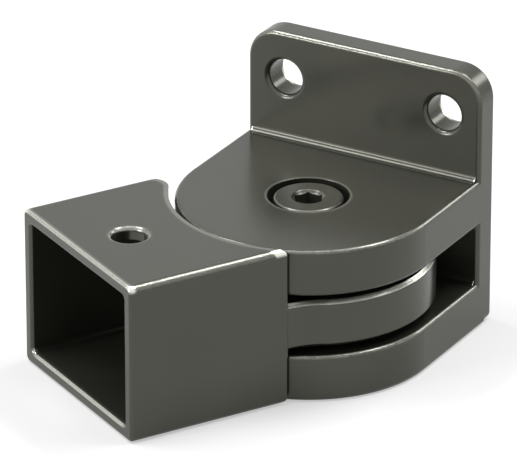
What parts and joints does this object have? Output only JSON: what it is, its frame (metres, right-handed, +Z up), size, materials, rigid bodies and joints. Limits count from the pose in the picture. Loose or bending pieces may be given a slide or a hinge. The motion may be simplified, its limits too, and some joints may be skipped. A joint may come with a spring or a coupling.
{
  "type": "swivel rail clip",
  "caption": "Cast wall bracket with two round ears and a hollow rail socket that swivels between them on a clamped pivot screw.",
  "frame": {"origin": "on the wall face, midway between the centres of the two wall screw holes", "axes": "+X to the right as seen from the room, +Y into the wall, +Z up along the pivot axis"},
  "size_m": [0.0658, 0.078, 0.051],
  "materials": {
    "cast_metal": "satin",
    "steel": "satin",
    "bronze": "satin",
    "nylon": "matte"
  },
  "bodies": {
    "bracket": {"wall_bracket": "cast_metal", "pivot_screw": "steel", "disc_spring": "steel", "pivot_sleeve": "steel", "upper_thrust_washer": "bronze", "lower_thrust_washer": "bronze", "lock_nut": "steel", "nut_locking_ring": "nylon"},
    "socket": {"rail_socket": "cast_metal"}
  },
  "joints": [
    {"name": "socket_swivel", "type": "hinge", "parent": "bracket", "child": "socket", "pos_m": [0, -0.0262, -0.027], "axis": [0, 0, 1], "range_deg": [-24, 84]}
  ]
}
